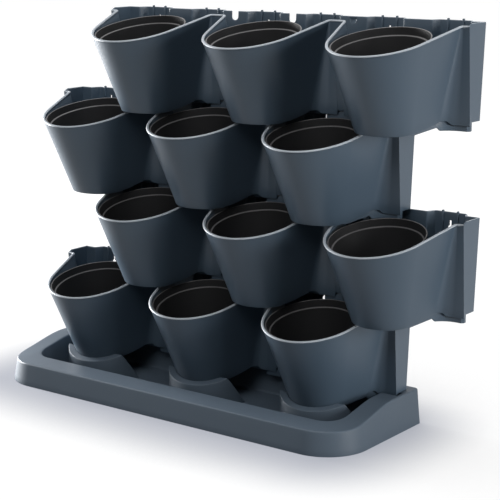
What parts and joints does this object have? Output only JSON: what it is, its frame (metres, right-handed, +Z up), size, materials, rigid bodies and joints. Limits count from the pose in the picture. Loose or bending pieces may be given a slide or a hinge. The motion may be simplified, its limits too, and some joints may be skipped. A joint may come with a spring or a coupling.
{
  "type": "tiered planter",
  "caption": "Stacked planter: staggered rows of leaning pockets with lift-out pots on a drip tray, and a flat-backed wavy rear panel to stand at a wall.",
  "frame": {"origin": "middle of the tray's underside, level with the ground, below the middle pot of the lowest row", "axes": "+X along the rows to the right as seen from the front, +Y to the back, +Z up"},
  "size_m": [0.71, 0.207, 0.5577],
  "materials": {
    "casing": "satin moulded, anthracite",
    "tray": "satin moulded, anthracite",
    "pot": "satin moulded, brown-black"
  },
  "bodies": {
    "tray": {"tray": "tray"},
    "tier_4": {"tier_4": "casing"},
    "tier_3": {"tier_3": "casing"},
    "tier_2": {"tier_2": "casing"},
    "tier_1": {"tier_1": "casing"},
    "pot_1_1": {"pot_1_1": "pot"},
    "pot_1_2": {"pot_1_2": "pot"},
    "pot_1_3": {"pot_1_3": "pot"},
    "pot_2_1": {"pot_2_1": "pot"},
    "pot_2_2": {"pot_2_2": "pot"},
    "pot_2_3": {"pot_2_3": "pot"},
    "pot_3_1": {"pot_3_1": "pot"},
    "pot_3_2": {"pot_3_2": "pot"},
    "pot_3_3": {"pot_3_3": "pot"},
    "pot_4_1": {"pot_4_1": "pot"},
    "pot_4_2": {"pot_4_2": "pot"},
    "pot_4_3": {"pot_4_3": "pot"}
  },
  "joints": [
    {"name": "tier_4_lift", "type": "slide", "parent": "tray", "child": "tier_4", "axis": [0, 0, 1], "range_m": [0, 0.15]},
    {"name": "tier_3_lift", "type": "slide", "parent": "tier_4", "child": "tier_3", "axis": [0, 0, 1], "range_m": [0, 0.15]},
    {"name": "tier_2_lift", "type": "slide", "parent": "tier_3", "child": "tier_2", "axis": [0, 0, 1], "range_m": [0, 0.15]},
    {"name": "tier_1_lift", "type": "slide", "parent": "tier_2", "child": "tier_1", "axis": [0, 0, 1], "range_m": [0, 0.15]},
    {"name": "pot_1_1_lift", "type": "slide", "parent": "tier_1", "child": "pot_1_1", "axis": [0, -0.225, 0.9744], "range_m": [0, 0.13]},
    {"name": "pot_1_2_lift", "type": "slide", "parent": "tier_1", "child": "pot_1_2", "axis": [0, -0.225, 0.9744], "range_m": [0, 0.13]},
    {"name": "pot_1_3_lift", "type": "slide", "parent": "tier_1", "child": "pot_1_3", "axis": [0, -0.225, 0.9744], "range_m": [0, 0.13]},
    {"name": "pot_2_1_lift", "type": "slide", "parent": "tier_2", "child": "pot_2_1", "axis": [0, -0.225, 0.9744], "range_m": [0, 0.0035]},
    {"name": "pot_2_2_lift", "type": "slide", "parent": "tier_2", "child": "pot_2_2", "axis": [0, -0.225, 0.9744], "range_m": [0, 0.0035]},
    {"name": "pot_2_3_lift", "type": "slide", "parent": "tier_2", "child": "pot_2_3", "axis": [0, -0.225, 0.9744], "range_m": [0, 0.0035]},
    {"name": "pot_3_1_lift", "type": "slide", "parent": "tier_3", "child": "pot_3_1", "axis": [0, -0.225, 0.9744], "range_m": [0, 0.0035]},
    {"name": "pot_3_2_lift", "type": "slide", "parent": "tier_3", "child": "pot_3_2", "axis": [0, -0.225, 0.9744], "range_m": [0, 0.0035]},
    {"name": "pot_3_3_lift", "type": "slide", "parent": "tier_3", "child": "pot_3_3", "axis": [0, -0.225, 0.9744], "range_m": [0, 0.0035]},
    {"name": "pot_4_1_lift", "type": "slide", "parent": "tier_4", "child": "pot_4_1", "axis": [0, -0.225, 0.9744], "range_m": [0, 0.0035]},
    {"name": "pot_4_2_lift", "type": "slide", "parent": "tier_4", "child": "pot_4_2", "axis": [0, -0.225, 0.9744], "range_m": [0, 0.0035]},
    {"name": "pot_4_3_lift", "type": "slide", "parent": "tier_4", "child": "pot_4_3", "axis": [0, -0.225, 0.9744], "range_m": [0, 0.0035]}
  ]
}
